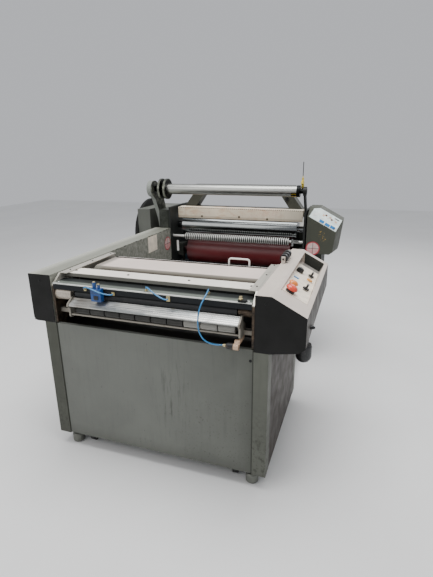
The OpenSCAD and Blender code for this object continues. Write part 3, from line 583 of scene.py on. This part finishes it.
def turned(name, profile, centre, axis, look, body="frame", segments=40):
    """Solid of revolution from (radius, height) pairs along an axis."""
    axis = Vector(axis).normalized()
    side = axis.orthogonal().normalized()
    other = axis.cross(side)
    bm = bmesh.new()
    rings = []
    for r, h in profile:
        rings.append([bm.verts.new(Vector(centre) + axis * h
                                   + (side * math.cos(a) + other * math.sin(a)) * r)
                      for a in (2 * math.pi * k / segments for k in range(segments))])
    for low, high in zip(rings, rings[1:]):
        for k in range(segments):
            j = (k + 1) % segments
            bm.faces.new((low[k], low[j], high[j], high[k]))
    bm.faces.new(rings[0])
    bm.faces.new(rings[-1])
    return keep(name, bm, look, body)


def sticker_look(name, centre, across):
    """Round sign: red rim, pale middle with a dark cross, no lettering."""
    s = Shader(name, linear("#c9908f"), 0.45)
    r = s.from_point(centre)
    rim = 0.037 if across == "X" else 0.040
    paper = s.mix(s.ramp(s.noise(50, 4), 0.4, 0.6), linear("#cbc2bd"), linear("#d8a6a2"))
    low = s.both(s.below("Z", centre.z - 0.004, 0.01), s.ramp(s.noise(30, 3), 0.3, 0.5))
    paper = s.mix(s.math("MULTIPLY", low, 0.6), paper, linear("#cf7f80"))
    color = s.mix(s.ramp(r, rim, rim + 0.003), paper, linear("#a5303c"))
    for axis, middle in ((across, centre["XYZ".index(across)]), ("Z", centre.z)):
        line = s.both(s.above(axis, middle - 0.0022), s.below(axis, middle + 0.0022),
                      s.ramp(r, rim, rim + 0.002, 1, 0))
        color = s.mix(s.math("MULTIPLY", line, 0.8), color, linear("#4a3a3c"))
    return s.finish(color, 0.45)


def add_signs():
    box_sign = at(543, 1299.85, 822)
    turned("box_sign", [(0.046, -0.0001), (0.046, 0.0002)], box_sign, (0, -1, 0),
           sticker_look("sign_red_box", box_sign, "X"))
    beam_sign = at(-480.85, 1244, 808)
    turned("beam_sign", [(0.049, -0.0001), (0.049, 0.0002)], beam_sign, (1, 0, 0),
           sticker_look("sign_red_beam", beam_sign, "Y"))
    slab("beam_label", at(-480.95, 1015, 852), (0, 1, 0), (0, 0, 1), (0.128, 0.104, 0.0006), CREAM)
    slab("tower_label", at(-425, 1299.7, 785), (1, 0, 0), (0, 0, 1), (0.016, 0.078, 0.0006), WHITE)


add_signs()

# Fascia of the control box: u along its front edge, v up the slope
FASCIA_TILT = math.radians(30.4)
FASCIA_TURN = math.atan2(98, 183)
FASCIA_CORNER = (501, 1300, 1030)
FASCIA_FACE = 2.35


def on_fascia(u, v, w=FASCIA_FACE):
    y = v * math.cos(FASCIA_TILT) - w * math.sin(FASCIA_TILT)
    z = v * math.sin(FASCIA_TILT) + w * math.cos(FASCIA_TILT)
    x = u * math.cos(FASCIA_TURN) + z * math.sin(FASCIA_TURN)
    rise = z * math.cos(FASCIA_TURN) - u * math.sin(FASCIA_TURN)
    left, front, top = FASCIA_CORNER
    return at(left + x, front + y, top + rise)


def add_fascia_parts():
    right = on_fascia(1, 0) - on_fascia(0, 0)
    up = on_fascia(0, 1) - on_fascia(0, 0)

    def window(name, u, v, w, h, look, depth=0.0018):
        slab(name, on_fascia(u, v), right, up, (w / 1000, h / 1000, depth), look)

    for i, (u, v) in enumerate(((92, 22), (134, 20), (172, 24))):
        window(f"display_{i + 1}", u, v, 33, 27, SCREEN)
        window(f"display_rim_{i + 1}", u, v, 37, 31, WHITE, 0.0009)
    window("display_corner", 184, 18, 9, 13, BLACK, 0.0024)
    window("dark_key", 170, 112, 34, 7, BLACK)
    looks = (PEACH, BROWN, WHITE, PEACH, BROWN, WHITE, PEACH)
    for i, look in enumerate(looks):
        window(f"indicator_{i + 1}", 82 + i * 15, 84 + (i % 2) * 13, 13, 15, look)
    for i in range(4):
        window(f"key_row_{i + 1}", 24 + i * 9, 42 + i * 12, 5, 34, WHITE, 0.0012)


add_fascia_parts()

# Console devices
SLOPE = math.atan2(73, 137)
PAN_TILT = math.atan2(49, 695)
PAN_CORNER = (543, 120, 910)
PAN_FRONT_DEPTH = 3
# Heights over the pan's floor: the cream plate, a selector's handle and the knob's top
PLATE_FACE = 1.55
SELECTOR_TOP = 26.1
KNOB_TOP = 26.1


def on_panel(u, v, h=0.0):
    """Point on the sunk panel: u across, v back, h out of it, in millimetres."""
    knee_x, front, knee_z = PAN_CORNER
    y = front + v * math.cos(PAN_TILT) + h * math.sin(PAN_TILT)
    n = h * math.cos(PAN_TILT) - v * math.sin(PAN_TILT) - PAN_FRONT_DEPTH
    return at(knee_x + u * math.cos(SLOPE) + n * math.sin(SLOPE), y,
              knee_z - u * math.sin(SLOPE) + n * math.cos(SLOPE))


def add_console_details():
    across = on_panel(1, 0) - on_panel(0, 0)
    back = on_panel(0, 1) - on_panel(0, 0)
    out = on_panel(0, 0, 1) - on_panel(0, 0)

    def collar(name, u, v, r, height, look, body="frame"):
        ring = [(r - 0.0025, 0.0), (r, 0.0004), (r, height - 0.0005), (r - 0.0008, height),
                (r - 0.0025, height)]
        turned(name, ring, on_panel(u, v, PLATE_FACE), out, look, body)

    collar("stop_collar", 48, 45, 0.0195, 0.009, BLACK)
    collar("orange_collar", 44, 130, 0.0165, 0.009, BLACK)
    collar("amber_collar", 104, 370, 0.0158, 0.0035, WHITE)
    for name, v in (("front", 215), ("rear", 480)):
        slab(f"selector_{name}_mark", on_panel(104, v + 9, SELECTOR_TOP), across, back,
             (0.0018, 0.009, 0.0004), WHITE, f"selector_{name}", 0)
        slab(f"selector_{name}_legend", on_panel(104, v - 26, PLATE_FACE), across, back,
             (0.024, 0.012, 0.0006), BLACK)
    slab("knob_mark", on_panel(42, 446.5, KNOB_TOP), across, back, (0.0016, 0.011, 0.0004),
         WHITE, "speed_knob", 0)
    slab("knob_legend", on_panel(42, 408, PLATE_FACE), across, back, (0.03, 0.010, 0.0006), WHITE)
    slab("meter_blue", on_panel(43, 306, PLATE_FACE), across, back, (0.026, 0.016, 0.003), SCREEN)
    slab("meter_white", on_panel(43, 332, PLATE_FACE), across, back, (0.030, 0.022, 0.002), WHITE)
    slab("plate_edge", on_panel(18, 320, 1.52), across, back, (0.003, 0.59, 0.0006), PEACH,
         "frame", 0)


add_console_details()


def screw(name, centre, axis, r=0.005, look=None):
    turned(name, [(r, -0.0002), (r, 0.0016), (r * 0.75, 0.0026)], centre, axis, look or PLAIN_STEEL,
           "frame", 20)


def add_fasteners():
    turned("panel_catch", [(0.006, -0.0002), (0.006, 0.002), (0.004, 0.0028)], at(463, 3, 628),
           (0, -1, 0), BLACKENED)
    for i, x in enumerate((-430, -150, 150, 430)):
        screw(f"crossbar_screw_{i + 1}", at(x, 132, 903), (0, 0, 1), 0.006, BLACKENED)
    for i, x in enumerate((-450, 448)):
        screw(f"rail_screw_{i + 1}", at(x, 22, 877), (0, 0, 1), 0.007)
    slab("rail_clamp", at(428, 2, 878), (1, 0, 0), (0, 1, 0), (0.034, 0.02, 0.009), BLACKENED)
    turned("rail_union", [(0.008, 0), (0.008, 0.012), (0.006, 0.013), (0.006, 0.02)],
           at(420, 4, 880), (0, 0, 1), BRASS)
    for i, (x, z) in enumerate(((-236, 902), (-214, 894))):
        turned(f"valve_nut_{i + 1}", [(0.006, 0), (0.006, 0.004), (0.004, 0.0045)],
               at(x, -12, z), (0, 0, 1), BRASS, "frame", 6)
    slab("valve_plug", at(-224, -24, 836), (1, 0, 0), (0, 0, 1), (0.022, 0.018, 0.003), BLACK)
    for i, y in enumerate((120, 300, 470)):
        screw(f"flange_screw_l{i}", at(-456, y, 908), (0, 0, 1), 0.004, BLACKENED)
        screw(f"flange_screw_r{i}", at(456, y, 908), (0, 0, 1), 0.004, BLACKENED)
    for i, x in enumerate((-540, 520)):
        screw(f"cap_screw_{i + 1}", at(x, 0.1, 880), (0, -1, 0), 0.004, BLACKENED)
    # Painted shade: a black sheet below the guard stands in for the shade seen through the delivery
    # end
    slab("shade_baffle", at(0, 200, 755), (1, 0, 0), (0, 0, 1), (0.94, 0.23, 0.003), BLACKENED)
    # Bright fork and spring at the right-hand end of the ribbed roller
    slab("roller_fork", at(424, 1318, 862), (1, 0, 0), (0, 0, 1), (0.05, 0.012, 0.02), PLAIN_STEEL)
    turned("roller_spring", [(0.009, 0), (0.009, 0.03), (0.006, 0.031), (0.006, 0.045)],
           at(405, 1322, 826), (0, 0, 1), PLAIN_STEEL)
    # Core clamp that hangs under the arch
    slab("arch_clamp", at(330, 1486, 1118), (1, 0, 0), (0, 0, 1), (0.02, 0.028, 0.012), BLACKENED)


add_fasteners()

# ---------------------------------------------------------------- air tubes

TUBE_ROUTES = {
    "air_tube_left": [
        (-290, -11, 869), (-290, -14, 872), (-282, -21, 878), (-266, -29, 882), (-246, -34, 880),
        (-222, -36, 874), (-198, -35, 866), (-176, -30, 860), (-159, -22, 856), (-150, -14, 855),
        (-150, -8, 855)],
    "air_tube_middle": [
        (0, 18, 886), (0, 18, 890), (3, 13, 895), (14, 3, 897), (32, -8, 892), (54, -16, 882),
        (78, -20, 871), (98, -20, 863), (109, -16, 860), (111, -13, 860), (111, -8, 860)],
    "air_tube_right": [
        (266, 62, 886), (266, 62, 890), (268, 56, 897), (273, 40, 902), (278, 20, 903),
        (280, 0, 898), (278, -18, 888), (273, -32, 873), (267, -40, 855), (261, -42, 832),
        (257, -42, 806), (256, -42, 780), (259, -42, 756), (266, -42, 736), (278, -42, 719),
        (295, -40, 707), (315, -35, 699), (333, -27, 695), (345, -21, 694), (350, -20, 694),
        (354, -20, 694)],
}
TUBE_D = 0.006


def add_tubes():
    for name, route in TUBE_ROUTES.items():
        points = [at(*p) for p in route]
        curve = bpy.data.curves.new(name + "_hose", "CURVE")
        curve.dimensions = "3D"
        curve.bevel_depth = TUBE_D / 2
        curve.bevel_resolution = 5
        curve.use_fill_caps = True
        spline = curve.splines.new("POLY")
        smooth = []
        for i in range(len(points) - 1):
            a, b = points[max(i - 1, 0)], points[i]
            c, d = points[i + 1], points[min(i + 2, len(points) - 1)]
            for step in range(4):
                t = step / 4
                smooth.append(0.5 * (2 * b + (c - a) * t + (2 * a - 5 * b + 4 * c - d) * t * t
                                     + (3 * b - a - 3 * c + d) * t ** 3))
        smooth.append(points[-1])
        spline.points.add(len(smooth) - 1)
        for point, place in zip(spline.points, smooth):
            point.co = (*place, 1)
        hose = bpy.data.objects.new(name + "_hose", curve)
        bpy.context.collection.objects.link(hose)
        curve.materials.append(TUBE)
        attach(hose, "frame")
        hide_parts(name)


add_tubes()

# ---------------------------------------------------------------- stage and light


def add_stage():
    bm = bmesh.new()
    bmesh.ops.create_grid(bm, x_segments=8, y_segments=8, size=9)
    mesh = bpy.data.meshes.new("floor")
    bm.to_mesh(mesh)
    bm.free()
    floor = bpy.data.objects.new("floor", mesh)
    bpy.context.collection.objects.link(floor)
    s = Shader("floor_pale", (0.82, 0.82, 0.81), 0.85)
    clouds = s.ramp(s.noise(1.5, 3), 0.3, 0.7)
    s.link(s.mix(clouds, (0.80, 0.80, 0.79), (0.84, 0.84, 0.83)), "Base Color")
    mesh.materials.append(s.material)


def add_light(name, place, target, size, power, color=(1, 1, 1)):
    data = bpy.data.lights.new(name, "AREA")
    data.size = size
    data.energy = power
    data.color = color
    lamp = bpy.data.objects.new(name, data)
    bpy.context.collection.objects.link(lamp)
    lamp.location = place
    lamp.rotation_euler = (Vector(target) - Vector(place)).to_track_quat("-Z", "Y").to_euler()


def add_lights():
    world = bpy.data.worlds.new("studio")
    world.use_nodes = True
    world.node_tree.nodes["Background"].inputs["Color"].default_value = (0.93, 0.95, 1, 1)
    world.node_tree.nodes["Background"].inputs["Strength"].default_value = 0.6
    bpy.context.scene.world = world
    add_light("overhead", (0.1, -0.6, 4.2), (0, 0, 0.8), 3.0, 190)
    add_light("front", (-1.6, -3.6, 2.6), (0, -0.8, 0.6), 2.2, 38, (1, 0.98, 0.95))
    add_light("back", (1.5, 3.4, 3.0), (0, 0.5, 0.8), 2.0, 30)


add_stage()
add_lights()
